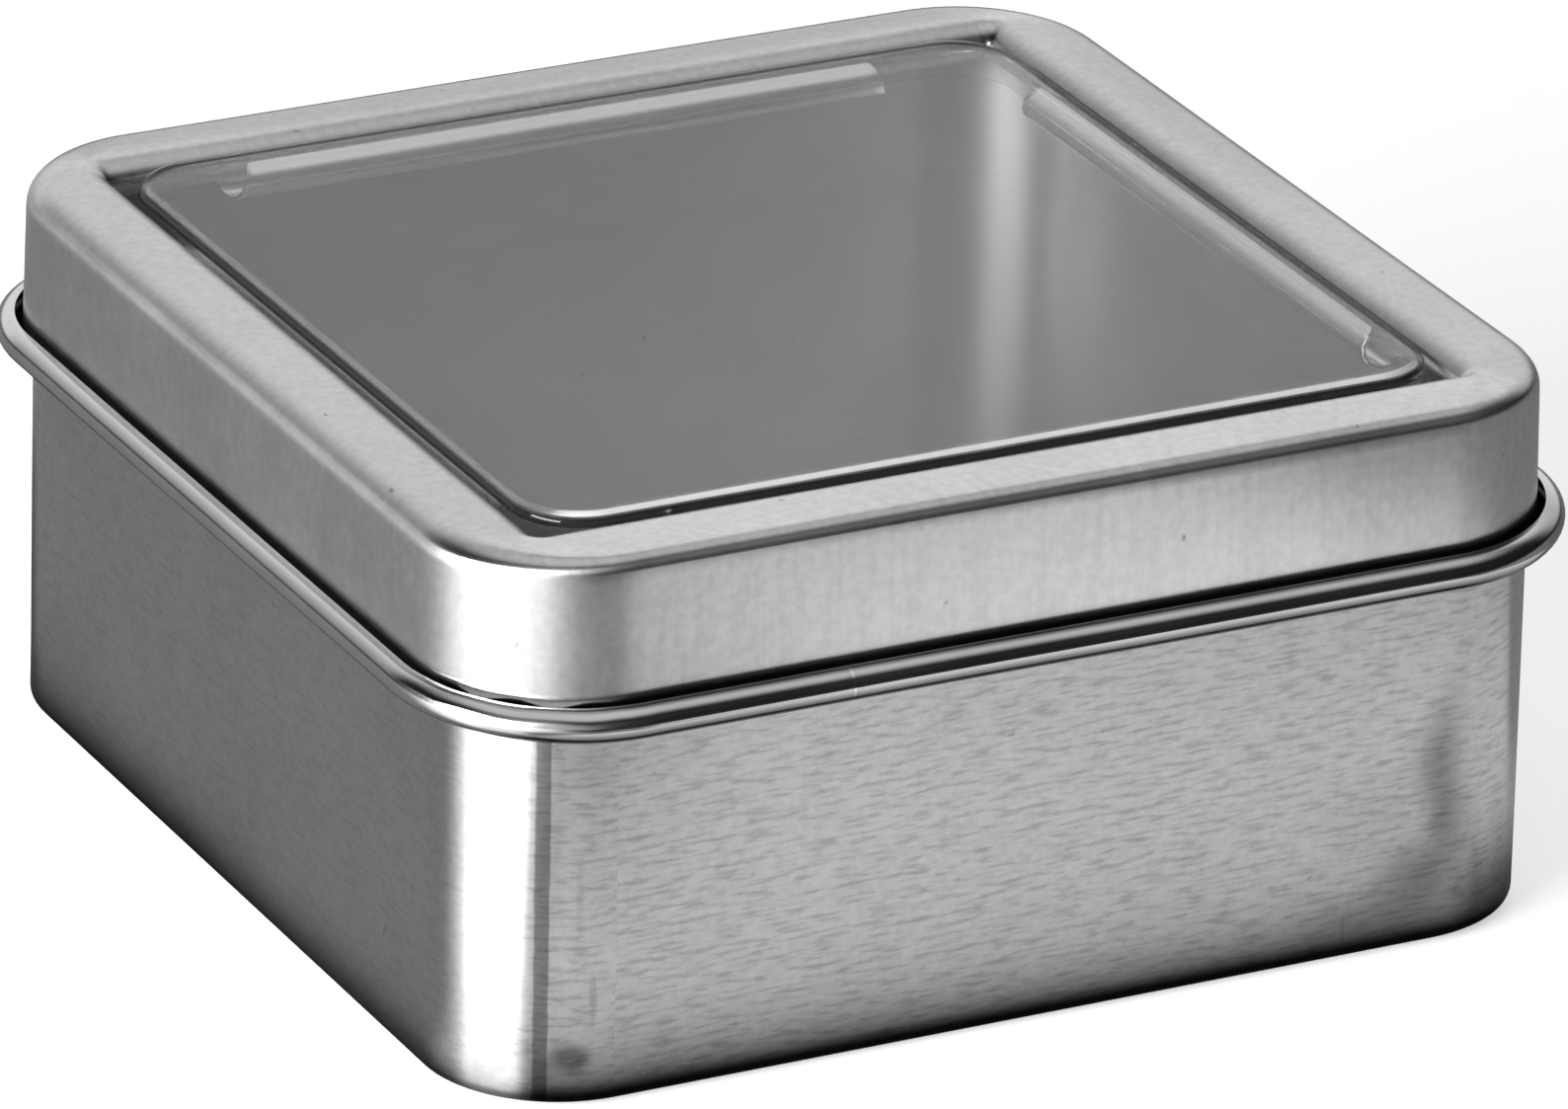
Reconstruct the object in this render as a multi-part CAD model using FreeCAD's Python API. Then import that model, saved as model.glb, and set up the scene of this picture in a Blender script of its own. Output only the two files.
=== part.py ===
import FreeCAD, Part
import math
import os

from FreeCAD import Vector

# Square tinplate box with a slip-on lid that holds a clear window.
# Millimetres. The origin is under the middle of the base, +Z points up, and the lid is closed.

# Sheet
SHEET = 0.28                 # tinplate of body and lid
WINDOW_SHEET = 0.30          # clear plastic of the window tray

# Lid shell
LID_SIDE = 76.0              # over the skirt
LID_CORNER_R = 10.0          # outside corner of the skirt, seen from above
LID_TOP_Z = 36.05            # top face of the closed lid above the table
LID_HEIGHT = 11.0            # from the top face down to the lowest edge of the curl
LID_EDGE_R = 0.90            # outside bend between top and skirt
CURL_R = 1.0                 # round outward curl along the skirt's lower edge
CURL_END_ANGLE = 128.0       # where the curl's raw edge stops, just short of the skirt

# Window opening in the lid
FRAME_WIDTH = 6.55           # from the skirt's outside to the folded wall of the opening
OPENING_BEND_R = 1.83        # soft bend from the top face down into the opening
LIP_DEPTH = 2.1              # folded wall at the corners, measured down from the top face
FLAP_DEPTH = 3.2             # lowest point of the folded flaps, measured down from the top face
FLAP_RETURN_DEPTH = 1.3      # raw edge of a flap after it has turned up again
FLAP_RELIEF = 8.05           # from the opening's corner to the end of a flap's fold
FLAP_TAPER = 1.2             # how much shorter each end of a flap is at its raw edge

# Window tray
WINDOW_GAP = 0.35            # between the folded wall and the tray's skirt
WINDOW_PROUD = 0.10          # tray top above the lid's top face
WINDOW_EDGE_R = 0.80         # outside bend between tray top and tray skirt
WINDOW_CORNER_R = 3.4        # outside corner of the tray, seen from above

# Tin body
SLIP_FIT = 0.52              # gap between skirt and body on the straight sides
CORNER_FIT = 0.21            # the same gap across a corner, on the diagonal
BODY_BOTTOM_R = 1.0          # outside bend between base and wall
RIM_CURL_R = 0.70            # inward safety curl of the rim
RIM_CURL_END_ANGLE = 285.0   # where the rim curl's raw edge stops, clear of the wall

# Places worked out from the sizes
lid_half = LID_SIDE / 2
lid_under_z = LID_TOP_Z - SHEET
curl_z = LID_TOP_Z - LID_HEIGHT + CURL_R
opening_half = lid_half - FRAME_WIDTH
bend_start = opening_half + OPENING_BEND_R
lip_z = LID_TOP_Z - LIP_DEPTH
window_half = opening_half - WINDOW_GAP
flap_return_face = window_half - WINDOW_SHEET
flap_axis_x = (opening_half + flap_return_face) / 2
flap_inner_r = (opening_half - flap_return_face) / 2
flap_outer_r = flap_inner_r + SHEET
flap_low_z = LID_TOP_Z - FLAP_DEPTH
flap_axis_z = flap_low_z + flap_outer_r
flap_raw_z = LID_TOP_Z - FLAP_RETURN_DEPTH
body_half = lid_half - SHEET - SLIP_FIT

# The body's corner is set by the gap that is left on the diagonal
DIAGONAL = math.sqrt(2)
lid_inner_diagonal = (lid_half - LID_CORNER_R) * DIAGONAL + LID_CORNER_R - SHEET
body_diagonal = lid_inner_diagonal - CORNER_FIT
body_corner_r = (body_half * DIAGONAL - body_diagonal) / (DIAGONAL - 1)

# Directions in a section, in degrees: +X leads outward and +Z up
OUTWARD = 0.0
UPWARD = 90.0
INWARD = 180.0
DOWNWARD = -90.0

SIDES = 4
QUARTER_TURN = 360.0 / SIDES

# Longest turn, in degrees, of one arc and of the flat strips on rounds that lie hidden
LONGEST_ARC = 45.0
OUTSIDE_STRIP = 24.0
INSIDE_STRIP = 60.0

AXIS = Vector(0, 0, 1)
CENTRE = Vector(0, 0, 0)


def on_circle(axis, radius, angle):
    """Point (x, z) of a section on a circle round the axis."""
    turn = math.radians(angle)
    return (axis[0] + radius * math.cos(turn), axis[1] + radius * math.sin(turn))


def angles_between(first_angle, last_angle, longest):
    """Angles that lead from the first to the last in equal turns, none above the longest."""
    count = math.ceil(abs(last_angle - first_angle) / longest)
    turn = (last_angle - first_angle) / count
    return [first_angle + number * turn for number in range(count + 1)]


def bend(axis, radius, first_angle, last_angle):
    """Arc steps of a section, each with a point half way round and the arc's end."""
    angles = angles_between(first_angle, last_angle, LONGEST_ARC)
    steps = []
    for start, end in zip(angles, angles[1:]):
        steps.append((on_circle(axis, radius, (start + end) / 2), on_circle(axis, radius, end)))
    return steps


def strips(axis, radius, first_angle, last_angle, longest):
    """Points that take a section round in flat strips."""
    angles = angles_between(first_angle, last_angle, longest)
    return [on_circle(axis, radius, angle) for angle in angles[1:]]


def in_section(point):
    return Vector(point[0], 0, point[1])


def section(*steps):
    """Closed face in the XZ plane. A step is a point to go to, or a bend."""
    edges = []
    here = steps[0]
    for step in steps[1:] + steps[:1]:
        if isinstance(step[0], tuple):
            through, there = step
            arc = Part.Arc(in_section(here), in_section(through), in_section(there))
            edges.append(arc.toShape())
        else:
            there = step
            edges.append(Part.makeLine(in_section(here), in_section(there)))
        here = there
    return Part.Face(Part.Wire(edges))


def on_all_sides(shape):
    """The shape and its copies on the other three sides, joined."""
    copies = []
    for side in range(SIDES):
        copy = shape.copy()
        copy.rotate(CENTRE, AXIS, side * QUARTER_TURN)
        copies.append(copy)
    return copies[0].fuse(copies[1:])


def ring(face, half, corner_r):
    """Carry a section round a rounded square: a straight run and a turned corner on each side."""
    corner_centre = half - corner_r
    run = face.copy()
    run.translate(Vector(0, -corner_centre, 0))
    straight = run.extrude(Vector(0, 2 * corner_centre, 0))
    start = face.copy()
    start.translate(Vector(0, corner_centre, 0))
    corner = start.revolve(Vector(corner_centre, corner_centre, 0), AXIS, QUARTER_TURN)
    return on_all_sides(straight.fuse(corner))


def rounded_plate(half, corner_r, low_z, thickness):
    """Flat rounded square that closes the middle of a ring."""
    plate = Part.makeBox(2 * half, 2 * half, thickness, Vector(-half, -half, low_z))
    upright = [edge for edge in plate.Edges if edge.BoundBox.ZLength > thickness / 2]
    return plate.makeFillet(corner_r, upright)


def block_along_x(outline, low_x, high_x):
    """Straight block from an outline in the YZ plane."""
    corners = [Vector(low_x, y, z) for y, z in outline]
    face = Part.Face(Part.makePolygon(corners + corners[:1]))
    return face.extrude(Vector(high_x - low_x, 0, 0))


def make_tin_body():
    """Drawn body: base, walls bent up from it and a rim curled inward."""
    inner_face = body_half - SHEET
    foot_axis = (body_half - BODY_BOTTOM_R, BODY_BOTTOM_R)
    rim_axis = (body_half - RIM_CURL_R, lid_under_z - RIM_CURL_R)
    hollow_r = RIM_CURL_R - SHEET
    wall = section(
        (foot_axis[0], 0),
        *bend(foot_axis, BODY_BOTTOM_R, DOWNWARD, OUTWARD),
        (body_half, rim_axis[1]),
        *strips(rim_axis, RIM_CURL_R, OUTWARD, UPWARD, OUTSIDE_STRIP),
        *strips(rim_axis, RIM_CURL_R, UPWARD, RIM_CURL_END_ANGLE, OUTSIDE_STRIP),
        on_circle(rim_axis, hollow_r, RIM_CURL_END_ANGLE),
        *strips(rim_axis, hollow_r, RIM_CURL_END_ANGLE, OUTWARD, INSIDE_STRIP),
        (inner_face, foot_axis[1]),
        *strips(foot_axis, BODY_BOTTOM_R - SHEET, OUTWARD, DOWNWARD, INSIDE_STRIP),
    )
    base = rounded_plate(foot_axis[0], body_corner_r - BODY_BOTTOM_R, 0, SHEET)
    return ring(wall, body_half, body_corner_r).fuse(base).removeSplitter()


def make_lid_rim():
    """Outside of the lid: edge of the top, skirt, and the hollow curl rolled out of the skirt."""
    inner_face = lid_half - SHEET
    edge_axis = (lid_half - LID_EDGE_R, LID_TOP_Z - LID_EDGE_R)
    curl_axis = (inner_face + CURL_R, curl_z)
    hollow_r = CURL_R - SHEET
    skirt = section(
        (edge_axis[0], LID_TOP_Z),
        *bend(edge_axis, LID_EDGE_R, UPWARD, OUTWARD),
        (lid_half, curl_z),
        *strips(curl_axis, hollow_r, -INWARD, CURL_END_ANGLE, INSIDE_STRIP),
        on_circle(curl_axis, CURL_R, CURL_END_ANGLE),
        *strips(curl_axis, CURL_R, CURL_END_ANGLE, UPWARD, OUTSIDE_STRIP),
        *bend(curl_axis, CURL_R, UPWARD, DOWNWARD),
        *strips(curl_axis, CURL_R, DOWNWARD, -INWARD, OUTSIDE_STRIP),
        (inner_face, edge_axis[1]),
        *strips(edge_axis, LID_EDGE_R - SHEET, OUTWARD, UPWARD, INSIDE_STRIP),
    )
    return ring(skirt, lid_half, LID_CORNER_R)


def make_lid_frame():
    """Flat top of the lid with the square opening cut out up to the start of its bend."""
    frame = rounded_plate(lid_half - LID_EDGE_R, LID_CORNER_R - LID_EDGE_R, lid_under_z, SHEET)
    corner = Vector(-bend_start, -bend_start, lid_under_z)
    opening = Part.makeBox(2 * bend_start, 2 * bend_start, SHEET, corner)
    return frame.cut(opening)


def make_lip():
    """One side of the opening: the top bends down to a short wall, mitred at the corners."""
    bend_axis = (bend_start, LID_TOP_Z - OPENING_BEND_R)
    lip = section(
        (bend_start, LID_TOP_Z),
        *bend(bend_axis, OPENING_BEND_R, UPWARD, INWARD),
        (opening_half, lip_z),
        (opening_half + SHEET, lip_z),
        (opening_half + SHEET, bend_axis[1]),
        *bend(bend_axis, OPENING_BEND_R - SHEET, INWARD, UPWARD),
    )
    lip.translate(Vector(0, -bend_start, 0))
    run = lip.extrude(Vector(0, 2 * bend_start, 0))
    left = Vector(bend_start, -bend_start, 0)
    right = Vector(bend_start, bend_start, 0)
    mitre = Part.Face(Part.makePolygon([CENTRE, left, right, CENTRE]))
    return run.common(mitre.extrude(Vector(0, 0, LID_TOP_Z)))


def make_flap():
    """One flap: it hangs from the lip, turns under the tray's skirt and comes up again inside."""
    axis = (flap_axis_x, flap_axis_z)
    inner_face = flap_return_face - SHEET
    outer_face = opening_half + SHEET
    fold_half = opening_half - FLAP_RELIEF
    raw_half = fold_half - FLAP_TAPER
    root_half = fold_half + lip_z - flap_axis_z
    bent = section(
        (outer_face, lip_z),
        (outer_face, flap_axis_z),
        *bend(axis, flap_outer_r, OUTWARD, -INWARD),
        (inner_face, flap_raw_z),
        (flap_return_face, flap_raw_z),
        (flap_return_face, flap_axis_z),
        *bend(axis, flap_inner_r, -INWARD, OUTWARD),
        (opening_half, lip_z),
    )
    bent.translate(Vector(0, -root_half, 0))
    run = bent.extrude(Vector(0, 2 * root_half, 0))
    fold_left = [(-fold_half, flap_axis_z), (-fold_half, flap_low_z)]
    fold_right = [(fold_half, flap_low_z), (fold_half, flap_axis_z)]
    turned_up = fold_left + fold_right + [(raw_half, flap_raw_z), (-raw_half, flap_raw_z)]
    hanging = fold_left + fold_right + [(root_half, lip_z), (-root_half, lip_z)]
    inside = block_along_x(turned_up, inner_face, flap_axis_x)
    outside = block_along_x(hanging, flap_axis_x, outer_face)
    return run.common(inside.fuse(outside))


def make_lid_shell():
    """Lid in one sheet: rim, flat frame, folded opening and four flaps."""
    folded = on_all_sides(make_lip().fuse(make_flap()))
    return make_lid_rim().fuse([make_lid_frame(), folded]).removeSplitter()


def make_window():
    """Clear tray: flat pane, rounded edge and a skirt that stands in the folded flaps."""
    inner_face = window_half - WINDOW_SHEET
    pane_top_z = LID_TOP_Z + WINDOW_PROUD
    pane_under_z = pane_top_z - WINDOW_SHEET
    edge_axis = (window_half - WINDOW_EDGE_R, pane_top_z - WINDOW_EDGE_R)
    skirt = section(
        (edge_axis[0], pane_top_z),
        *bend(edge_axis, WINDOW_EDGE_R, UPWARD, OUTWARD),
        (window_half, flap_axis_z),
        (inner_face, flap_axis_z),
        (inner_face, edge_axis[1]),
        *strips(edge_axis, WINDOW_EDGE_R - WINDOW_SHEET, OUTWARD, UPWARD, INSIDE_STRIP),
    )
    pane = rounded_plate(edge_axis[0], WINDOW_CORNER_R - WINDOW_EDGE_R, pane_under_z, WINDOW_SHEET)
    return ring(skirt, window_half, WINDOW_CORNER_R).fuse(pane).removeSplitter()


def main():
    os.makedirs("parts", exist_ok=True)
    pieces = {
        "tin_body": make_tin_body(),
        "lid_shell": make_lid_shell(),
        "window": make_window(),
    }
    for name, shape in pieces.items():
        shape.exportStep(os.path.join("parts", name + ".step"))


main()
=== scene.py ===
import math
from typing import NamedTuple

import bmesh
import bpy
from mathutils import Matrix, Vector, noise


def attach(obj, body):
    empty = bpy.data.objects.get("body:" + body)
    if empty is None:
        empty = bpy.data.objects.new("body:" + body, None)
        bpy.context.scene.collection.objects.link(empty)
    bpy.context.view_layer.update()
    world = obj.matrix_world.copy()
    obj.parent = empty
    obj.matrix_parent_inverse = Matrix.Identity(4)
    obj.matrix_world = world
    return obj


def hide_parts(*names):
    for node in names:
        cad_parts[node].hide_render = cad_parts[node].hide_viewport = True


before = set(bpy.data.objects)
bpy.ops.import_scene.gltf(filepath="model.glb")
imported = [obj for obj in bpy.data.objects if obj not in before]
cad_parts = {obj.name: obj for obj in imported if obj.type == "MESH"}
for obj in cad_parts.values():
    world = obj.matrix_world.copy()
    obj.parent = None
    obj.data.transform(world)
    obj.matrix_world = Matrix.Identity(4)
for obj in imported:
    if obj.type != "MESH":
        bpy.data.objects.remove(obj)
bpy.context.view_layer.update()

# Square tinplate box whose slip-on lid holds a clear window.
# Sections are drawn in millimetres: x leads outward from the middle axis and z up.
MM = 0.001


def metres(*lengths):
    """Lengths in millimetres as a tuple in metres."""
    return tuple(length * MM for length in lengths)


# Sheet
SHEET = 0.28
WINDOW_SHEET = 0.30
SHARP_ANGLE = 38.0

# Lid: the front has a sharper top edge than the other sides and a larger, lower curl
LID_HALF = 38.0
LID_CORNER_CENTRE = 28.0
LID_TOP_Z = 36.05
LID_EDGE_R = 0.90
SOFT_EDGE_R = 1.8
LID_DRAFT = 0.22
CURL_Z = 26.05
CURL_R = 1.0
CURL_END = 462.0
FRONT_CURL_R = 1.08
FRONT_CURL_Z = 25.82

# Crinkles of the curl at the near corner, in shares of the corner, then degrees, then radians of a wave
CRINKLE_START = 0.35
CRINKLE_END = 0.2
CRINKLE_TURN = 22.0
CRINKLE_SWING = 12.0
CRINKLE_PHASE = 21.0

# Opening and flaps
OPENING_HALF = 31.45
OPENING_BEND_R = 1.83
OPENING_CORNER_CENTRE = 31.15
OPENING_FOOT_Z = LID_TOP_Z - OPENING_BEND_R
LIP_DEPTH = 2.1
FLAP_DEPTH = 3.2
FLAP_FOLD_R = 0.85
FLAP_FOLD_TURN = 234.0
FLAP_FOLD_Z = LID_TOP_Z - FLAP_DEPTH + FLAP_FOLD_R + SHEET
FLAP_DROP = OPENING_FOOT_Z - FLAP_FOLD_Z
FLAP_RETURN = 0.72
FLAP_ROOT_HALF = 23.9
FLAP_RAW_HALF = 22.2

# Window tray
WINDOW_HALF = 31.1
WINDOW_TOP_Z = 36.15
WINDOW_EDGE_R = 0.80
WINDOW_CORNER_CENTRE = 27.7
WINDOW_CORNER_SHARE = 0.86
WINDOW_FOOT_Z = 33.46

# Body
BODY_HALF = 37.2
BODY_CORNER_CENTRE = 28.6
BODY_CORNER_SHARE = 0.77
BODY_BOTTOM_R = 1.0
BODY_DRAFT = 0.10
RIM_R = 0.70
RIM_END = 285.0

# Unevenness of the sheets: height, length and seed of the waves, and where they fade on the body
LID_LIFT_WAVES = (0.035, 24.0, 3.0)
LID_SWAY_WAVES = (0.04, 20.0, 11.0)
BODY_WAVES = (0.06, 22.0, 7.0)
CALM_TOP_Z = 34.5
CALM_FADE = 5.0

# Mesh fineness round the ring: steps of a corner, and start, end and steps of each stretch of half a side
CORNER_STEPS = 20
SIDE_BREAKS = ((0.0, 21.4, 14), (21.4, 24.4, 14), (24.4, OPENING_CORNER_CENTRE, 8))

# Mesh fineness along the sections: rows of each stretch, and half the flat middle of pane and base
FLAP_ROWS = 40
BEND_ROWS = 14
TOP_ROWS = 10
EDGE_ROWS = 10
SKIRT_ROWS = 12
CURL_ROWS = 34
FLAT_ROWS = 9
FOOT_ROWS = 4
WALL_ROWS = 24
RIM_ROWS = 24
MIDDLE_HALF = 4.0

# Sides of the ring in order: front, right, back and left, each with its ways outward and along
SIDE_WAYS = (((0, -1), (1, 0)), ((1, 0), (0, 1)), ((0, 1), (-1, 0)), ((-1, 0), (0, -1)))
FRONT_SIDE = 0
LEFT_SIDE = 3

# Materials: levels that fall, usual reach of a noise, and the step in the map to a sheet's inner layer
FALLING = (1.0, 0.0)
NOISE_REACH = (0.3, 0.7)
INNER_STEP = (0.5, 0.6)

# Tinplate
TIN_GREY = 0.70
CLOUD_SCALE = (120.0,) * 3
CLOUD_TONE = (0.96, 1.04)
CLOUD_GLOSS = (-0.008, 0.008)
CLOUD_RELIEF = 0.3
CLOUD_HEIGHT = 0.05 * MM
MOTTLE_SCALE = (1700.0,) * 3
MOTTLE_TONE = (-0.05, 0.05)
SPECK_SCALE = (900.0,) * 3
SPECK_LIMITS = (0.74, 0.80)
SPECK_TONE = (1.0, 0.7)
NOISE_MIDDLE = (0.5,) * 3
RAGGED_RIM = metres(0.15, 0.15, 0.15)
FRONT_ZONE = metres(-36.2, -34.5)
STREAKS_ELSEWHERE = 0.4
# Painted shade low down is weaker away from the front
BOTTOM_SHADE_ELSEWHERE = 0.3
# Tone left on the outer layer inside a curl: painted shade in the curl's hollow
HOLLOW_SHADE_SHARE = 0.12
# Distance from the middle axis inside which the lid's flaps are lightened as painted light
FLAP_ZONE = metres(31.0, 31.4)


class Tin(NamedTuple):
    """Look of one tinplate sheet.

    The inner change is added to the roughness on the sheet's inner layer. The shaded hollow zone is the
    stretch along the section in which the outer layer turns into the hollow of a curl; beyond it that layer
    is darkened as painted shade. The flap light share lightens the flaps as painted light, and the bottom
    shade zone and share darken the lowest band of the sheet as painted shade. A mark has its middle and
    reach in millimetres, the share of tone that is left and the softness of its rim; some marks are wear,
    some painted shade and highlight.
    """

    name: str
    roughness: float
    inner_change: float
    anisotropy: float
    rotation: float
    streak_scale: tuple
    streak_limits: tuple
    streak_tone: tuple
    shaded_hollow_zone: tuple
    flap_light_share: float
    bottom_shade_zone: tuple
    bottom_shade_share: float
    marks: tuple


BODY_TIN = Tin(
    name="body_tinplate",
    roughness=0.28,
    inner_change=0.28,
    anisotropy=0.92,
    rotation=0.25,
    streak_scale=(480.0, 2800.0, 1.0),
    streak_limits=(0.42, 0.74),
    streak_tone=(1.05, 0.73),
    # Painted shade over the outer layer of the rim's curl
    shaded_hollow_zone=metres(67.2, 67.8),
    flap_light_share=1.0,
    # Painted shade at the bottom bend, most on the front
    bottom_shade_zone=metres(0.7, 1.8),
    bottom_shade_share=0.12,
    marks=(
        # Upright line beside the near corner, a painted dark reflection edge, and smudges there
        ((-33.0, -36.0, 10.0), (0.48, 3.0, 90.0), 0.45, 0.35),
        ((-31.3, -36.8, 3.3), (1.85, 1.5, 1.35), 0.42, 0.7),
        ((-30.0, -37.2, 7.2), (0.35, 1.5, 2.4), 0.78, 0.7),
        ((-30.9, -37.2, 14.0), (0.35, 1.5, 4.0), 0.88, 0.7),
        # Painted shade, a dark reflection, at the right end of the front
        ((28.7, -37.2, 16.0), (1.5, 1.5, 3.4), 0.84, 1.0),
        ((28.0, -37.2, 12.6), (2.6, 1.5, 4.8), 0.50, 1.0),
        ((28.7, -37.2, 8.4), (2.4, 1.5, 4.4), 0.50, 1.0),
        ((27.0, -37.2, 5.0), (4.8, 1.5, 3.6), 0.47, 1.0),
        ((23.5, -37.2, 2.8), (7.5, 1.5, 3.0), 0.74, 1.0),
        ((24.5, -37.2, 9.5), (7.0, 1.5, 6.0), 0.88, 1.0),
        ((21.6, -37.2, 2.2), (0.3, 1.5, 1.3), 0.82, 0.7),
        # Painted shade dimming the highlight in the back corner of the inside, which also darkens the
        # outside of that corner
        ((33.4, 33.4, 18.0), (6.0, 6.0, 40.0), 0.80, 1.0),
    ),
)
LID_TIN = Tin(
    name="lid_tinplate",
    roughness=0.235,
    inner_change=-0.10,
    anisotropy=0.94,
    rotation=0.0,
    streak_scale=(1300.0, 110.0, 1.0),
    streak_limits=(0.35, 0.75),
    streak_tone=(1.02, 0.95),
    # Painted shade in the hollow of the curl
    shaded_hollow_zone=metres(17.1, 17.7),
    # Flaps painted lighter, as painted light
    flap_light_share=1.42,
    # Painted shade under the curl, most on the front
    bottom_shade_zone=metres(25.1, 26.1),
    bottom_shade_share=0.1,
    marks=(
        # Nick on the curl, painted bright as a glint, and specks on the left top edge and the front
        ((-14.2, -39.2, 25.9), (0.13, 1.2, 1.5), 1.5, 0.5),
        ((-36.9, -22.3, 36.0), (0.25, 0.45, 0.4), 0.4, 0.6),
        ((-35.8, -10.6, 36.0), (0.16, 0.3, 0.4), 0.6, 0.6),
        ((9.0, -38.0, 31.0), (0.22, 1.0, 0.3), 0.6, 0.6),
        # Painted shade on the back and right strips of the top
        ((0.0, 36.0, 36.0), (70.0, 4.2, 0.6), 0.70, 0.6),
        ((36.0, 14.0, 36.0), (4.0, 26.0, 0.6), 0.88, 0.8),
        # Painted shade, a dark reflection, at the right end of the curl, and painted shade dimming a
        # highlight in the back corner of the opening
        ((36.5, -35.0, 25.9), (6.5, 5.5, 2.2), 0.40, 0.9),
        ((31.5, 31.5, 35.0), (0.8, 0.8, 1.8), 0.25, 0.8),
    ),
)

# Clear plastic: the upper part of the tray's bend is painted pale as a highlight, and below it a dark band
# is painted shade
SMEAR_SCALE = (70.0, 110.0, 70.0)
SMEAR_GLOSS = (0.005, 0.025)
DUST_SCALE = (1500.0,) * 3
DUST_LIMITS = (0.77, 0.80)
DUST_COVER = 0.3
# Heights, zones and covers of the painted highlight on the tray's bend
HIGHLIGHT_FOOT = metres(35.80, 35.90)
HIGHLIGHT_TOP = metres(36.05, 36.14)
HIGHLIGHT_FRONT_ZONE = metres(-30.5, -29.0)
HIGHLIGHT_FRONT_COVER = (0.75, 0.2)
HIGHLIGHT_BACK_ZONE = metres(29.0, 30.5)
HIGHLIGHT_BACK_COVER = (0.0, 0.5)
# Heights of the band of painted shade low on the tray's bend
SEAM_FOOT = metres(35.10, 35.30)
SEAM_TOP = metres(35.70, 35.80)
SEAM_COVER = 0.95
SEAM_DARK = (0.0, 0.5)
PLASTIC_TONE = (0.97, 0.02)
PLASTIC_INDEX = 1.42
PLASTIC_BODY = 0.2
COVER_DULLING = 2.0

# Floor, and the glowing card on it whose grey is painted shade seen only in metal and plastic
FLOOR_REACH = 12.0
FLOOR_Z = -0.08 * MM
FLOOR_SCALE = (6.0,) * 3
FLOOR_TONE = (0.86, 0.88)
FLOOR_ROUGHNESS = 0.9
FLOOR_GLOW = 0.55
CARD_Z = -0.03 * MM
CARD_GREY = 0.23
CARD_DARK = 0.02

# Clear patches of the card, where the floor shows: in front, near the tin and on the left
FRONT_PATCH_MIDDLE = metres(35.0, -75.0, 0.0)
FRONT_PATCH_REACH = metres(36.0, 60.0, 1000.0)
FRONT_PATCH_RIM = (0.85, 1.15)
NEAR_PATCH_RIM = metres(80.0, 94.0)
NEAR_PATCH_BACK = metres(-32.0, -24.0)
NEAR_PATCH_LEFT = metres(-52.0, -42.0)
PATCH_FADE = metres(40.0, 80.0)
PATCH_SHARE = (0.42, 0.66)
LEFT_PATCH_CORNER = metres(-35.0, -35.0, 0.0)
LEFT_PATCH_TIP = metres(10.0, 24.0)
LEFT_PATCH_SPREAD = metres(35.0, 60.0)
LEFT_PATCH_START = (math.radians(44.0), math.radians(12.0))
LEFT_PATCH_FULL = math.radians(52.0)
LEFT_PATCH_END = (math.radians(98.0), math.radians(128.0))

# Zones of the card with deeper painted shade: beside the right wall, behind the tin and far in front; where
# the tin stands, a painted contact shadow
RIGHT_ZONE_FRONT = metres(-42.0, -34.0)
RIGHT_ZONE_START = metres(0.0, 10.0)
RIGHT_ZONE_END = metres(44.0, 56.0)
BACK_ZONE_FRONT = metres(-20.0, 20.0)
BACK_ZONE_LEFT = metres(-45.0, -35.0)
BACK_ZONE_RIM = metres(70.0, 85.0)
FAR_ZONE = metres(-150.0, -125.0)
LEFT_WALL_X = metres(-40.0, -36.0)
LEFT_WALL_Y = metres(-36.0, -30.0)
CONTACT_START = 39.5 * MM
CONTACT_END = 47.0 * MM
LEFT_CONTACT_END = 40.5 * MM
CONTACT_SHADOW_SHARE = 0.1

# Room: levels by height from straight down, 0, to straight up, 1
DIM_SIDE = ((0.5, 0.01), (0.83, 0.012), (0.89, 0.2), (0.93, 0.55), (0.97, 0.66), (1.0, 0.66))
BRIGHT_SIDE = (
    (0.5, 0.03), (0.55, 0.1), (0.58, 0.85), (0.62, 0.95), (0.72, 0.87), (0.85, 0.72), (1.0, 0.66),
)
BRIGHT_WAY = (0.40, 0.92, 0.0)
BRIGHT_REACH = (0.4, 0.8)
LEFT_WAY = (-0.80, -0.60, 0.0)
LEFT_REACH = (0.55, 0.9)
LEFT_LEVEL = (0.0, 0.4)

# Lamp on the left, in metres and watts
LAMP_PLACE = (-0.43, -0.145, 0.13)
LAMP_TARGET = (-0.035, -0.035, 0.02)
LAMP_SIZE = (0.38, 0.22)
LAMP_POWER = 4.2

# Camera at the photograph's viewing angle, its lens and sensor in millimetres and its place in metres
CAMERA_LENS = 310.703
CAMERA_SENSOR = 36.0
CAMERA_PLACE = (-0.357888, -0.697629, 0.355307)
CAMERA_RIGHT = (0.89354098, -0.44834221, 0.02395392)
CAMERA_UP = (0.15832708, 0.36457031, 0.91761704)
CAMERA_BACK = (-0.42013934, -0.81613587, 0.39674322)


def side_fractions():
    """Places along one straight side, from -1 to 1, closer together at the ends of the flaps."""
    half = [0.0]
    for low, high, count in SIDE_BREAKS:
        for number in range(1, count + 1):
            half.append((low + (high - low) * number / count) / OPENING_CORNER_CENTRE)
    return [-place for place in reversed(half[1:])] + half


FRACTIONS = side_fractions()
SIDE_COUNT = len(FRACTIONS) + CORNER_STEPS - 1
RING_COUNT = len(SIDE_WAYS) * SIDE_COUNT


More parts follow.
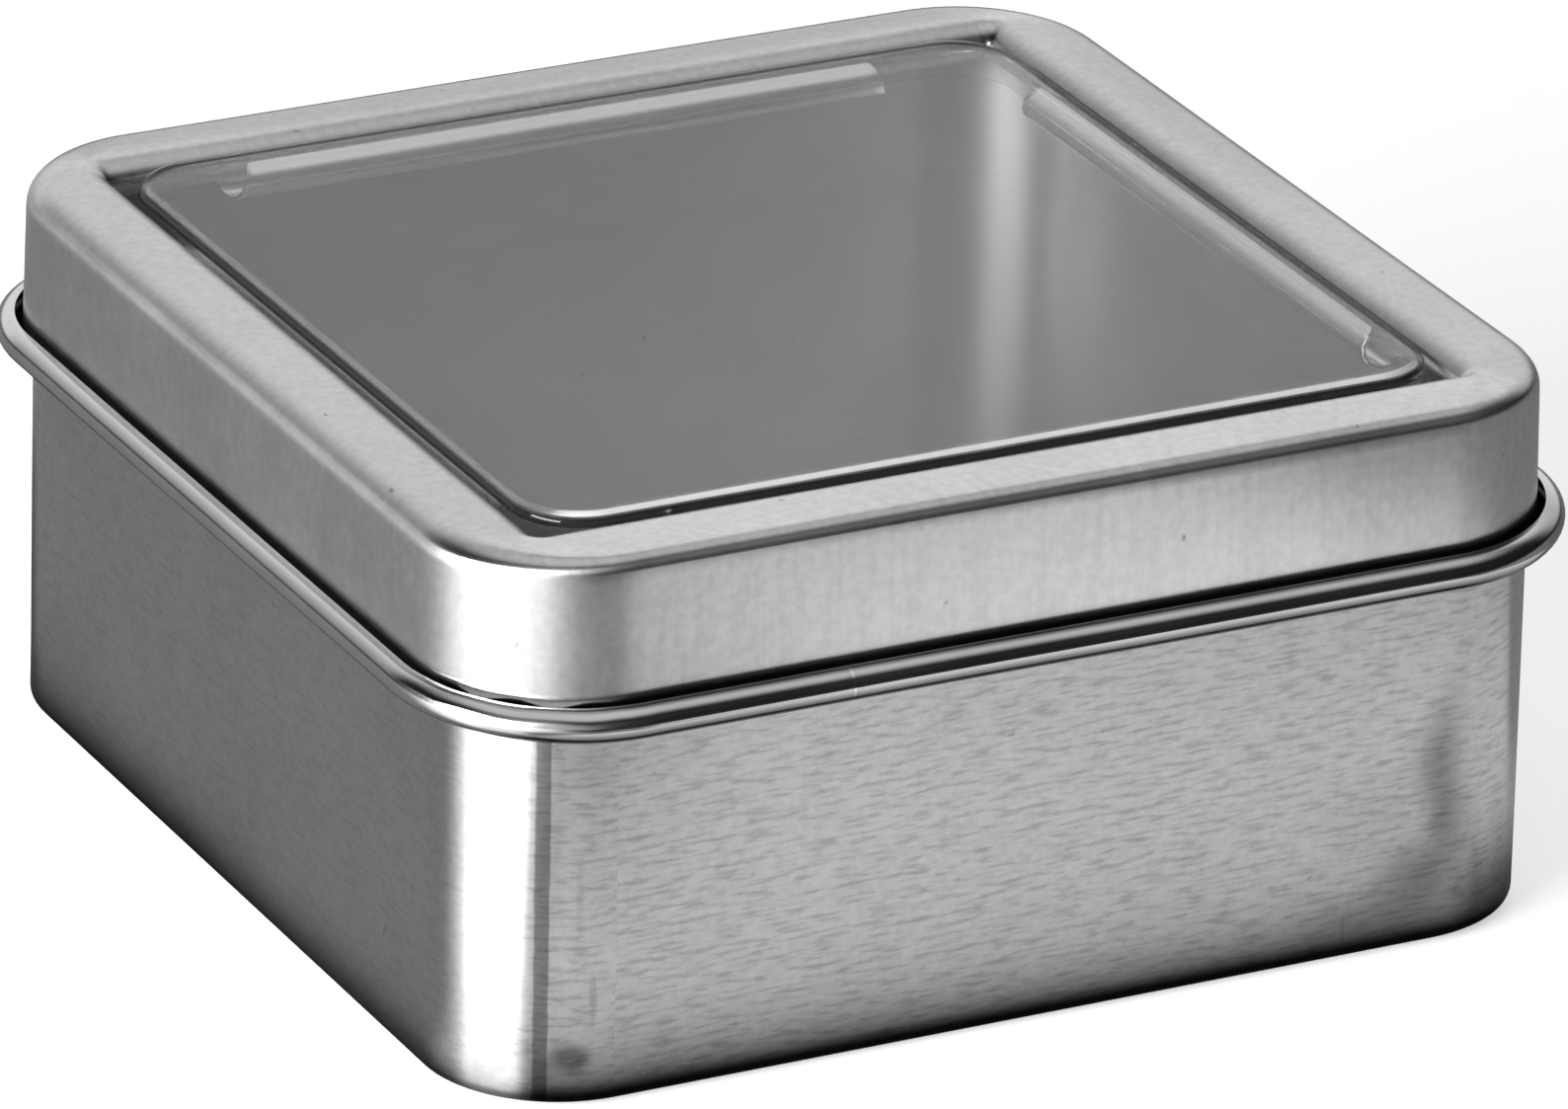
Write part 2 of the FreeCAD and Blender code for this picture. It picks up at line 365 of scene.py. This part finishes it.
def ring_place(index, x, centre):
    """Point on a rounded square at distance x, with its corner arcs centred at the given distance."""
    side, number = divmod(index, SIDE_COUNT)
    if number < len(FRACTIONS):
        out = x
        along = FRACTIONS[number] * centre
    else:
        angle = math.radians(90.0 * (number - len(FRACTIONS) + 1) / CORNER_STEPS)
        out = centre + (x - centre) * math.cos(angle)
        along = centre + (x - centre) * math.sin(angle)
    (out_x, out_y), (along_x, along_y) = SIDE_WAYS[side]
    return (out * out_x + along * along_x, out * out_y + along * along_y)


def side_place(index):
    """Distance from the middle of a side, in millimetres, and the whole half side at the corners."""
    number = index % SIDE_COUNT
    if number < len(FRACTIONS):
        return abs(FRACTIONS[number]) * OPENING_CORNER_CENTRE
    return OPENING_CORNER_CENTRE


def side_and_corner(index):
    """Side of a ring point, and its way round the corner that ends this side, from 0 to 1."""
    side, number = divmod(index, SIDE_COUNT)
    return side, max(number - len(FRACTIONS) + 1, 0) / CORNER_STEPS


def clamp(value):
    """Value kept between 0 and 1."""
    return min(max(value, 0.0), 1.0)


def ease(value):
    """Smooth change from 0 to 1."""
    value = clamp(value)
    return value * value * (3.0 - 2.0 * value)


def run(start, end, count):
    """Stations along a straight piece of a section: place, and the direction to its right."""
    dx = end[0] - start[0]
    dz = end[1] - start[1]
    length = math.hypot(dx, dz)
    steps = [number / count for number in range(1, count + 1)]
    return [(start[0] + dx * step, start[1] + dz * step, dz / length, -dx / length) for step in steps]


def turn(axis, radius, first, last, count):
    """Stations round an arc of a section."""
    hand = 1.0 if last > first else -1.0
    stations = []
    for number in range(1, count + 1):
        angle = math.radians(first + (last - first) * number / count)
        out_x = math.cos(angle)
        out_z = math.sin(angle)
        stations.append((axis[0] + radius * out_x, axis[1] + radius * out_z, hand * out_x, hand * out_z))
    return stations


def flap_station(length):
    """Station on a flap, by the length of sheet below the foot of the opening's bend."""
    if length <= FLAP_DROP:
        return (OPENING_HALF, OPENING_FOOT_Z - length, 1.0, 0.0)
    turned = min((length - FLAP_DROP) / FLAP_FOLD_R, math.radians(FLAP_FOLD_TURN))
    beyond = length - FLAP_DROP - FLAP_FOLD_R * turned
    out_x = math.cos(-turned)
    out_z = math.sin(-turned)
    x = OPENING_HALF - FLAP_FOLD_R + FLAP_FOLD_R * out_x + beyond * out_z
    z = FLAP_FOLD_Z + FLAP_FOLD_R * out_z - beyond * out_x
    return (x, z, out_x, out_z)


def flap_length(place):
    """Length of sheet below the bend: long on the flap, short at the corners, slanted between."""
    full = FLAP_DROP + FLAP_FOLD_R * math.radians(FLAP_FOLD_TURN) + FLAP_RETURN
    short = LIP_DEPTH - OPENING_BEND_R
    share = (FLAP_ROOT_HALF - place) / (FLAP_ROOT_HALF - FLAP_RAW_HALF)
    return short + (full - short) * clamp(share)


def front_share(index):
    """1 along the front, falling to 0 round its two corners."""
    side, turned = side_and_corner(index)
    if side == FRONT_SIDE:
        return 1.0 - ease(turned)
    if side == LEFT_SIDE:
        return ease(turned)
    return 0.0


def curl_crinkle(index):
    """Degrees by which the curl's raw edge is rolled further in, with small crinkles at the near corner."""
    side, turned = side_and_corner(index)
    if side != LEFT_SIDE or turned == 0.0:
        return 0.0
    closed = ease(turned / CRINKLE_START) * ease((1.0 - turned) / CRINKLE_END)
    return closed * (CRINKLE_TURN + CRINKLE_SWING * math.sin(CRINKLE_PHASE * turned))


def same_all_round(stations, centres):
    """Rows that have one station at every place round the ring."""
    return [[station + (centre,)] * RING_COUNT for station, centre in zip(stations, centres)]


def flap_rows():
    """The flaps from their raw edge up to the foot of the opening's bend."""
    rows = []
    for number in range(FLAP_ROWS, 0, -1):
        row = []
        for index in range(RING_COUNT):
            length = flap_length(side_place(index)) * number / FLAP_ROWS
            row.append(flap_station(length) + (OPENING_CORNER_CENTRE,))
        rows.append(row)
    return rows


def lid_rows():
    """The lid's sheet from the flaps' raw edge over the top and down the skirt to the end of the curl."""
    bend_axis = (OPENING_HALF + OPENING_BEND_R, OPENING_FOOT_Z)
    bend = [flap_station(0.0)] + turn(bend_axis, OPENING_BEND_R, 180.0, 90.0, BEND_ROWS)
    rows = flap_rows() + same_all_round(bend, [OPENING_CORNER_CENTRE] * len(bend))
    reach = LID_CORNER_CENTRE - OPENING_CORNER_CENTRE
    top_shares = [ease((number + 1) / TOP_ROWS) for number in range(TOP_ROWS)]
    top_centres = [OPENING_CORNER_CENTRE + reach * share for share in top_shares]
    outer = []
    for index in range(RING_COUNT):
        front = front_share(index)
        edge_r = SOFT_EDGE_R + (LID_EDGE_R - SOFT_EDGE_R) * front
        radius = CURL_R + (FRONT_CURL_R - CURL_R) * front
        height = CURL_Z + (FRONT_CURL_Z - CURL_Z) * front
        edge_axis = (LID_HALF - LID_DRAFT - edge_r, LID_TOP_Z - edge_r)
        top = run((bend_axis[0], LID_TOP_Z), (edge_axis[0], LID_TOP_Z), TOP_ROWS)
        below = turn(edge_axis, edge_r, 90.0, 0.0, EDGE_ROWS)
        below += run((LID_HALF - LID_DRAFT, edge_axis[1]), (LID_HALF, height), SKIRT_ROWS)
        curl_axis = (LID_HALF - SHEET + radius, height)
        below += turn(curl_axis, radius - SHEET, 180.0, CURL_END + curl_crinkle(index), CURL_ROWS)
        stations = [station + (centre,) for station, centre in zip(top, top_centres)]
        outer.append(stations + [station + (LID_CORNER_CENTRE,) for station in below])
    return rows + [list(row) for row in zip(*outer)]


def window_rows():
    """The tray from the middle of the pane to the foot of its skirt."""
    edge_axis = (WINDOW_HALF - WINDOW_EDGE_R, WINDOW_TOP_Z - WINDOW_EDGE_R)
    stations = run((MIDDLE_HALF, WINDOW_TOP_Z), (edge_axis[0], WINDOW_TOP_Z), FLAT_ROWS)
    stations += turn(edge_axis, WINDOW_EDGE_R, 90.0, 0.0, EDGE_ROWS)
    stations += run((WINDOW_HALF, edge_axis[1]), (WINDOW_HALF, WINDOW_FOOT_Z), FOOT_ROWS)
    centres = [min(WINDOW_CORNER_CENTRE, WINDOW_CORNER_SHARE * station[0]) for station in stations]
    return same_all_round(stations, centres)


def body_rows():
    """The body from the middle of the base up the wall to the end of the rim's curl."""
    low_half = BODY_HALF + BODY_DRAFT
    high_half = BODY_HALF - BODY_DRAFT
    bottom_axis = (low_half - BODY_BOTTOM_R, BODY_BOTTOM_R)
    rim_axis = (high_half - RIM_R, LID_TOP_Z - SHEET - RIM_R)
    stations = run((MIDDLE_HALF, 0.0), (bottom_axis[0], 0.0), FLAT_ROWS)
    stations += turn(bottom_axis, BODY_BOTTOM_R, -90.0, 0.0, EDGE_ROWS)
    stations += run((low_half, BODY_BOTTOM_R), (high_half, rim_axis[1]), WALL_ROWS)
    stations += turn(rim_axis, RIM_R, 0.0, RIM_END, RIM_ROWS)
    centres = [min(BODY_CORNER_CENTRE, BODY_CORNER_SHARE * station[0]) for station in stations]
    return same_all_round(stations, centres)


def waves(place, length, seed):
    """Smooth unevenness at a place, from about -1 to 1."""
    return noise.noise(Vector((place.x / length + seed, place.y / length, place.z / length)))


def lid_shape(place):
    """Slight unevenness of the pressed lid, upward and outward."""
    lift, lift_length, lift_seed = LID_LIFT_WAVES
    sway, sway_length, sway_seed = LID_SWAY_WAVES
    up = Vector((0.0, 0.0, lift * waves(place, lift_length, lift_seed)))
    out = Vector((place.x, place.y, 0.0)).normalized()
    return place + out * (sway * waves(place, sway_length, sway_seed)) + up


def body_shape(place):
    """Slight unevenness of the walls, none at the base and the rim."""
    sway, length, seed = BODY_WAVES
    free = ease(place.z / CALM_FADE) * ease((CALM_TOP_Z - place.z) / CALM_FADE)
    out = Vector((place.x, place.y, 0.0)).normalized()
    return place + out * sway * free * waves(place, length, seed)


def plain_shape(place):
    """No unevenness."""
    return place


def sheet_points(rows, thickness, shape):
    """Points of a sheet's two layers, in metres."""
    points = []
    for layer in (0.0, thickness):
        for row in rows:
            for index, (x, z, right_x, right_z, centre) in enumerate(row):
                place = ring_place(index, x + layer * right_x, centre)
                points.append(shape(Vector((place[0], place[1], z + layer * right_z))) * MM)
    return points


def ring_faces(low, high, low_row, high_row):
    """Faces between two rings that start at given points. A corner holds its point, ring place and row."""
    faces = []
    for index in range(RING_COUNT):
        after = (index + 1) % RING_COUNT
        face = [(low + index, index, low_row), (low + after, index + 1, low_row)]
        face += [(high + after, index + 1, high_row), (high + index, index, high_row)]
        faces.append(face)
    return faces


def sheet_faces(row_count, close_start):
    """Faces of both layers and of the raw edges, or of the flat middle where the start is closed."""
    layer_size = row_count * RING_COUNT
    faces = []
    for start in (0, layer_size):
        for number in range(row_count - 1):
            low = start + number * RING_COUNT
            faces += ring_faces(low, low + RING_COUNT, number, number + 1)
    for number in ([] if close_start else [0]) + [row_count - 1]:
        low = number * RING_COUNT
        faces += ring_faces(low, low + layer_size, number, number)
    if close_start:
        for start in (0, layer_size):
            faces.append([(start + index, index, 0) for index in range(RING_COUNT)])
    return faces


def map_sheet(mesh, rows, corners):
    """Map of the sheet in metres: round the ring and along the section, one unit on for the inner layer."""
    along = [0.0]
    for before, after in zip(rows, rows[1:]):
        along.append(along[-1] + math.hypot(after[0][0] - before[0][0], after[0][1] - before[0][1]))
    around = [0.0]
    for index in range(RING_COUNT):
        here = Vector(ring_place(index, LID_HALF, LID_CORNER_CENTRE))
        there = Vector(ring_place((index + 1) % RING_COUNT, LID_HALF, LID_CORNER_CENTRE))
        around.append(around[-1] + (there - here).length)
    layer_size = len(rows) * RING_COUNT
    layer = mesh.uv_layers.new(name="Sheet")
    for loop, (point, index, number) in enumerate(corners):
        inner = 1.0 if point >= layer_size else 0.0
        layer.data[loop].uv = (around[index] * MM, along[number] * MM + inner)


def sheet_mesh(name, rows, thickness, shape, close_start):
    """Mesh of a bent sheet. A row holds one (x, z, right_x, right_z, centre) per ring point."""
    faces = sheet_faces(len(rows), close_start)
    mesh = bpy.data.meshes.new(name)
    points = sheet_points(rows, thickness, shape)
    mesh.from_pydata(points, [], [[corner[0] for corner in face] for face in faces])
    map_sheet(mesh, rows, [corner for face in faces for corner in face])
    solid = bmesh.new()
    solid.from_mesh(mesh)
    bmesh.ops.recalc_face_normals(solid, faces=solid.faces)
    solid.to_mesh(mesh)
    solid.free()
    mesh.shade_smooth()
    mesh.set_sharp_from_angle(angle=math.radians(SHARP_ANGLE))
    mesh.validate()
    return mesh


def piece(name, mesh, material, node, body):
    """One piece that rides on a body and stands for a node of the part."""
    item = bpy.data.objects.new(name, mesh)
    bpy.context.scene.collection.objects.link(item)
    mesh.materials.append(material)
    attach(item, body)
    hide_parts(node)


class Nodes:
    """Small helper that adds and links shader nodes."""

    def __init__(self, tree):
        self.tree = tree
        tree.nodes.clear()

    def add(self, kind, inputs=None, **settings):
        """New node with its settings and its inputs, each a value or another node's output."""
        node = self.tree.nodes.new(kind)
        for key, value in settings.items():
            setattr(node, key, value)
        for key, value in (inputs or {}).items():
            if isinstance(value, bpy.types.NodeSocket):
                self.tree.links.new(value, node.inputs[key])
            else:
                node.inputs[key].default_value = value
        return node

    def math(self, operation, first, second=0.0, third=0.0):
        """Result of an operation on numbers."""
        node = self.add("ShaderNodeMath", {0: first, 1: second, 2: third}, operation=operation)
        return node.outputs[0]

    def times(self, first, *others):
        """Product of several values."""
        for other in others:
            first = self.math("MULTIPLY", first, other)
        return first

    def vector(self, operation, first, second=(0.0, 0.0, 0.0), output="Vector"):
        """Result of an operation on vectors."""
        node = self.add("ShaderNodeVectorMath", {0: first, 1: second}, operation=operation)
        return node.outputs[output]

    def split(self, vector):
        """The three numbers of a vector."""
        return self.add("ShaderNodeSeparateXYZ", {0: vector}).outputs

    def band(self, value, limits, levels=(0.0, 1.0), interpolation="SMOOTHSTEP"):
        """Change between two levels while a value goes from one limit to the other."""
        inputs = {"Value": value, "From Min": limits[0], "From Max": limits[1]}
        inputs.update({"To Min": levels[0], "To Max": levels[1]})
        node = self.add("ShaderNodeMapRange", inputs, interpolation_type=interpolation)
        return node.outputs[0]

    def blend(self, share, first, second):
        """Smooth change from one level to another while a share goes from 0 to 1."""
        return self.band(share, (0.0, 1.0), (first, second))

    def noise(self, place, scale, detail, roughness=0.5, output="Fac"):
        """Noise on coordinates stretched by a scale for each axis."""
        stretched = self.vector("MULTIPLY", place, scale)
        inputs = {"Vector": stretched, "Scale": 1.0, "Detail": detail, "Roughness": roughness}
        return self.add("ShaderNodeTexNoise", inputs).outputs[output]

    def beside(self, place):
        """Distance from the middle axis, measured square to the nearest side."""
        split = self.split(place)
        return self.math("MAXIMUM", self.math("ABSOLUTE", split["X"]), self.math("ABSOLUTE", split["Y"]))

    def grey(self, tone):
        """Colour of one tone."""
        return self.add("ShaderNodeCombineColor", {0: tone, 1: tone, 2: tone}).outputs[0]

    def surface(self, shader):
        """Shader as the material's surface."""
        self.add("ShaderNodeOutputMaterial", {"Surface": shader.outputs[0]})


def new_material(name):
    """Empty material and the helper that fills it."""
    material = bpy.data.materials.new(name)
    material.use_nodes = True
    return material, Nodes(material.node_tree)


def wear_and_painted_light(nodes, tone, place, marks):
    """Tone changed at marks, some of use and some of painted shade and highlight, whose sizes are in
    millimetres.
    """
    for middle, reach, share, rim in marks:
        centred = nodes.vector("SUBTRACT", place, metres(*middle))
        scaled = nodes.vector("DIVIDE", centred, metres(*reach))
        distance = nodes.vector("LENGTH", scaled, output="Value")
        tone = nodes.times(tone, nodes.band(distance, (1.0 - rim, 1.0), (share, 1.0)))
    return tone


def tinplate(look):
    """Dull tinplate with rolled streaks, cloudy gloss, dark specks and marks of use, with painted shade low
    down, in curls and at some marks, and painted light on the flaps and at a nick.
    """
    material, nodes = new_material(look.name)
    sheet = nodes.add("ShaderNodeUVMap", uv_map="Sheet").outputs[0]
    place = nodes.add("ShaderNodeTexCoord").outputs["Object"]
    split = nodes.split(place)
    along_sheet = nodes.split(sheet)["Y"]
    outside = nodes.band(along_sheet, INNER_STEP, FALLING)

    grain = nodes.noise(sheet, look.streak_scale, detail=2.0, roughness=0.55)
    clouds = nodes.noise(place, CLOUD_SCALE, detail=3.0, roughness=0.55)
    specks = nodes.noise(place, SPECK_SCALE, detail=2.0)
    mottle = nodes.noise(place, MOTTLE_SCALE, detail=3.0, roughness=0.6)
    mottle = nodes.band(mottle, NOISE_REACH, MOTTLE_TONE)
    streaks = nodes.math("SUBTRACT", nodes.band(grain, look.streak_limits, look.streak_tone), 1.0)
    strength = nodes.times(outside, nodes.band(split["Y"], FRONT_ZONE, (1.0, STREAKS_ELSEWHERE)))
    tone = nodes.times(
        nodes.math("MULTIPLY_ADD", streaks, strength, 1.0),
        TIN_GREY,
        nodes.band(clouds, NOISE_REACH, CLOUD_TONE),
        nodes.math("MULTIPLY_ADD", mottle, outside, 1.0),
        nodes.band(specks, SPECK_LIMITS, SPECK_TONE),
    )

    ragged = nodes.noise(place, SPECK_SCALE, detail=2.0, output="Color")
    ragged = nodes.vector("MULTIPLY", nodes.vector("SUBTRACT", ragged, NOISE_MIDDLE), RAGGED_RIM)
    tone = wear_and_painted_light(nodes, tone, nodes.vector("ADD", place, ragged), look.marks)

    # Painted shade: the lowest band of the sheet is darkened, most on the front, at the body's bottom bend
    # and under the lid's curl
    bottom_shade = nodes.band(split["Z"], look.bottom_shade_zone, (look.bottom_shade_share - 1.0, 0.0))
    bottom_shade = nodes.times(bottom_shade, nodes.band(split["Y"], FRONT_ZONE, (1.0, BOTTOM_SHADE_ELSEWHERE)))
    tone = nodes.times(
        tone,
        # Painted shade in the hollow of a curl
        nodes.band(along_sheet, look.shaded_hollow_zone, (1.0, nodes.blend(outside, 1.0, HOLLOW_SHADE_SHARE))),
        # Painted light: the lid's flaps are lightened
        nodes.band(nodes.beside(place), FLAP_ZONE, (look.flap_light_share, 1.0)),
        # Painted shade low down
        nodes.math("ADD", bottom_shade, 1.0),
    )

    gloss = nodes.math("ADD", nodes.band(clouds, NOISE_REACH, CLOUD_GLOSS), look.roughness)
    gloss = nodes.math("ADD", gloss, nodes.blend(outside, look.inner_change, 0.0))
    relief = {"Height": clouds, "Strength": CLOUD_RELIEF, "Distance": CLOUD_HEIGHT}
    inputs = {
        "Base Color": nodes.grey(tone),
        "Metallic": 1.0,
        "Roughness": gloss,
        "Normal": nodes.add("ShaderNodeBump", relief).outputs[0],
        "Anisotropic": look.anisotropy,
        "Anisotropic Rotation": look.rotation,
        "Tangent": nodes.add("ShaderNodeTangent", direction_type="UV_MAP", uv_map="Sheet").outputs[0],
    }
    nodes.surface(nodes.add("ShaderNodeBsdfPrincipled", inputs))
    return material


def clear_plastic():
    """Clear tray with faint smears and a little dust, its rounded edges painted pale as a highlight and a
    band of painted shade round it.
    """
    material, nodes = new_material("clear_plastic")
    sheet = nodes.add("ShaderNodeUVMap", uv_map="Sheet").outputs[0]
    place = nodes.add("ShaderNodeTexCoord").outputs["Object"]
    split = nodes.split(place)
    outside = nodes.band(nodes.split(sheet)["Y"], INNER_STEP, FALLING)
    smears = nodes.noise(place, SMEAR_SCALE, detail=1.0, roughness=0.4)
    dust = nodes.band(nodes.noise(place, DUST_SCALE, detail=1.0, roughness=0.4), DUST_LIMITS)

    # Painted highlight: the upper part of the tray's bend is pale, most at the front and less at the back;
    # the real dust is pale too
    above_foot = nodes.band(split["Z"], HIGHLIGHT_FOOT)
    below_top = nodes.band(split["Z"], HIGHLIGHT_TOP, FALLING)
    front_cover = nodes.band(split["Y"], HIGHLIGHT_FRONT_ZONE, HIGHLIGHT_FRONT_COVER)
    back_cover = nodes.band(split["Y"], HIGHLIGHT_BACK_ZONE, HIGHLIGHT_BACK_COVER)
    edge = nodes.times(above_foot, below_top, nodes.math("ADD", front_cover, back_cover))
    pale = nodes.math("MAXIMUM", edge, nodes.times(dust, DUST_COVER))

    # Painted shade: a dark band low on the outer face of the tray's bend, all round
    above_seam = nodes.band(split["Z"], SEAM_FOOT)
    below_seam = nodes.band(split["Z"], SEAM_TOP, FALLING)
    seam_shade = nodes.times(above_seam, below_seam, outside, SEAM_COVER)

    cover = nodes.math("MAXIMUM", pale, seam_shade)
    dulled = nodes.math("MINIMUM", nodes.times(cover, COVER_DULLING), 1.0)
    inputs = {
        "Base Color": nodes.grey(nodes.band(seam_shade, SEAM_DARK, PLASTIC_TONE)),
        "Roughness": nodes.band(smears, NOISE_REACH, SMEAR_GLOSS),
        "Transmission Weight": nodes.math("SUBTRACT", 1.0, dulled),
        "IOR": PLASTIC_INDEX,
        "Alpha": nodes.math("MAXIMUM", cover, PLASTIC_BODY),
    }
    nodes.surface(nodes.add("ShaderNodeBsdfPrincipled", inputs))
    return material


def pale_floor():
    """Pale matt floor that looks bright to the camera and in metal and plastic."""
    material, nodes = new_material("pale_floor")
    place = nodes.add("ShaderNodeTexCoord").outputs["Object"]
    mottle = nodes.noise(place, FLOOR_SCALE, detail=2.0)
    path = nodes.add("ShaderNodeLightPath").outputs
    seen = nodes.math("MAXIMUM", path["Is Camera Ray"], path["Is Glossy Ray"])
    seen = nodes.math("MAXIMUM", seen, path["Is Transmission Ray"])
    inputs = {
        "Base Color": nodes.grey(nodes.band(mottle, NOISE_REACH, FLOOR_TONE)),
        "Roughness": FLOOR_ROUGHNESS,
        "Specular IOR Level": 0.0,
        "Emission Color": (1.0, 1.0, 1.0, 1.0),
        "Emission Strength": nodes.times(seen, FLOOR_GLOW),
    }
    nodes.surface(nodes.add("ShaderNodeBsdfPrincipled", inputs))
    return material


def front_patches(nodes, place):
    """Share of the floor that shows through the card in front of the tin."""
    split = nodes.split(place)
    beside = nodes.beside(place)
    scaled = nodes.vector("DIVIDE", nodes.vector("SUBTRACT", place, FRONT_PATCH_MIDDLE), FRONT_PATCH_REACH)
    front = nodes.band(nodes.vector("LENGTH", scaled, output="Value"), FRONT_PATCH_RIM, FALLING)
    near = nodes.times(
        nodes.band(beside, NEAR_PATCH_RIM, FALLING),
        nodes.band(split["Y"], NEAR_PATCH_BACK, FALLING),
        nodes.band(split["X"], NEAR_PATCH_LEFT),
    )
    share = nodes.band(beside, PATCH_FADE, PATCH_SHARE, interpolation="LINEAR")
    return nodes.times(nodes.math("MAXIMUM", front, near), share)


def left_patch(nodes, place):
    """Share of the floor that shows in a fan round the near corner, from the front to the left."""
    toward_corner = nodes.vector("SUBTRACT", LEFT_PATCH_CORNER, place)
    distance = nodes.vector("LENGTH", toward_corner, output="Value")
    split = nodes.split(toward_corner)
    angle = nodes.math("ARCTAN2", split["X"], split["Y"])
    start = nodes.band(distance, LEFT_PATCH_SPREAD, LEFT_PATCH_START)
    return nodes.times(
        nodes.band(angle, (start, LEFT_PATCH_FULL)),
        nodes.band(distance, LEFT_PATCH_TIP),
        nodes.band(angle, LEFT_PATCH_END, FALLING),
    )


def dark_card():
    """Glowing card of painted shade, seen in place of a shaded floor, with clear patches where the bright
    floor in front and on the left shows through; darkest where the tin stands, a painted contact shadow.
    """
    material, nodes = new_material("dark_card")
    place = nodes.add("ShaderNodeTexCoord").outputs["Object"]
    split = nodes.split(place)
    beside = nodes.beside(place)
    right_zone = nodes.times(
        nodes.band(split["Y"], RIGHT_ZONE_FRONT),
        nodes.band(split["X"], RIGHT_ZONE_END, FALLING),
        nodes.band(split["X"], RIGHT_ZONE_START),
    )
    left_wall = nodes.times(
        nodes.band(split["X"], LEFT_WALL_X, FALLING),
        nodes.band(split["Y"], LEFT_WALL_Y),
    )
    contact_end = nodes.blend(left_wall, CONTACT_END, LEFT_CONTACT_END)
    # Painted contact shadow: the card darkens towards where the tin stands
    free = nodes.band(beside, (CONTACT_START, contact_end))
    clear = nodes.times(
        nodes.math("MAXIMUM", front_patches(nodes, place), left_patch(nodes, place)),
        nodes.math("SUBTRACT", 1.0, right_zone),
        free,
    )
    back_zone = nodes.times(
        nodes.band(split["Y"], BACK_ZONE_FRONT),
        nodes.band(split["X"], BACK_ZONE_LEFT),
        nodes.band(beside, BACK_ZONE_RIM, FALLING),
    )
    dark = nodes.math("MAXIMUM", back_zone, nodes.band(split["Y"], FAR_ZONE, FALLING))
    tone = nodes.times(nodes.blend(dark, CARD_GREY, CARD_DARK), nodes.blend(free, CONTACT_SHADOW_SHARE, 1.0))
    shader = nodes.add("ShaderNodeEmission", {"Color": nodes.grey(tone)})
    gap = nodes.add("ShaderNodeBsdfTransparent")
    nodes.surface(nodes.add("ShaderNodeMixShader", {0: clear, 1: shader.outputs[0], 2: gap.outputs[0]}))
    return material


def ramp(nodes, value, stops):
    """Grey level by value, from (place, level) stops."""
    node = nodes.add("ShaderNodeValToRGB", {"Fac": value})
    elements = node.color_ramp.elements
    while len(elements) < len(stops):
        elements.new(position=0.5)
    for element, (place, level) in zip(elements, stops):
        element.position = place
        element.color = (level, level, level, 1.0)
    return node.outputs[0]


def make_world():
    """Soft room: bright above and behind, dark low down in front, with some light from the front left."""
    world = bpy.data.worlds.new("studio")
    bpy.context.scene.world = world
    world.use_nodes = True
    nodes = Nodes(world.node_tree)
    toward = nodes.add("ShaderNodeTexCoord").outputs["Generated"]
    height = nodes.band(nodes.split(toward)["Z"], (-1.0, 1.0), interpolation="LINEAR")
    toward_left = nodes.vector("DOT_PRODUCT", toward, LEFT_WAY, output="Value")
    toward_bright = nodes.vector("DOT_PRODUCT", toward, BRIGHT_WAY, output="Value")
    left = nodes.band(toward_left, LEFT_REACH, LEFT_LEVEL)
    dim = nodes.math("ADD", ramp(nodes, height, DIM_SIDE), left)
    room = nodes.band(toward_bright, BRIGHT_REACH, (dim, ramp(nodes, height, BRIGHT_SIDE)))
    lit = nodes.add("ShaderNodeBackground", {"Color": room, "Strength": 1.0})
    nodes.add("ShaderNodeOutputWorld", {"Surface": lit.outputs[0]})


def make_lamp(name):
    """Soft rectangular lamp that points at the near corner."""
    light = bpy.data.lights.new(name, "AREA")
    light.shape = "RECTANGLE"
    light.size, light.size_y = LAMP_SIZE
    light.energy = LAMP_POWER
    item = bpy.data.objects.new(name, light)
    bpy.context.scene.collection.objects.link(item)
    item.location = LAMP_PLACE
    item.rotation_euler = (Vector(LAMP_TARGET) - Vector(LAMP_PLACE)).to_track_quat("-Z", "Y").to_euler()


def flat_sheet(name, material, z):
    """Large level sheet at a height in metres."""
    mesh = bpy.data.meshes.new(name)
    ends = ((-1, -1), (1, -1), (1, 1), (-1, 1))
    corners = [(x * FLOOR_REACH, y * FLOOR_REACH, 0.0) for x, y in ends]
    mesh.from_pydata(corners, [], [range(len(corners))])
    mesh.materials.append(material)
    item = bpy.data.objects.new(name, mesh)
    bpy.context.scene.collection.objects.link(item)
    item.location.z = z
    return item


def make_floor():
    """Pale floor, and on it the glowing card of painted shade that only metal and plastic see."""
    flat_sheet("floor", pale_floor(), FLOOR_Z)
    card = flat_sheet("card", dark_card(), CARD_Z)
    card.visible_camera = False
    card.visible_diffuse = False
    card.visible_shadow = False


def make_camera():
    """Camera at the photograph's viewing angle."""
    data = bpy.data.cameras.new("camera")
    data.sensor_width = CAMERA_SENSOR
    data.lens = CAMERA_LENS
    item = bpy.data.objects.new("camera", data)
    bpy.context.scene.collection.objects.link(item)
    turned = Matrix((CAMERA_RIGHT, CAMERA_UP, CAMERA_BACK)).transposed().to_4x4()
    item.matrix_world = Matrix.Translation(CAMERA_PLACE) @ turned
    bpy.context.scene.camera = item


body_mesh = sheet_mesh("tin_body_skin", body_rows(), -SHEET, body_shape, close_start=True)
lid_mesh = sheet_mesh("lid_skin", lid_rows(), SHEET, lid_shape, close_start=False)
window_mesh = sheet_mesh("window_pane", window_rows(), WINDOW_SHEET, plain_shape, close_start=True)
piece("tin_body_skin", body_mesh, tinplate(BODY_TIN), "tin_body", "tin")
piece("lid_skin", lid_mesh, tinplate(LID_TIN), "lid_shell", "lid")
piece("window_pane", window_mesh, clear_plastic(), "window", "lid")
make_floor()
make_world()
make_lamp("left_panel")
make_camera()
bpy.context.scene.view_settings.view_transform = "Standard"
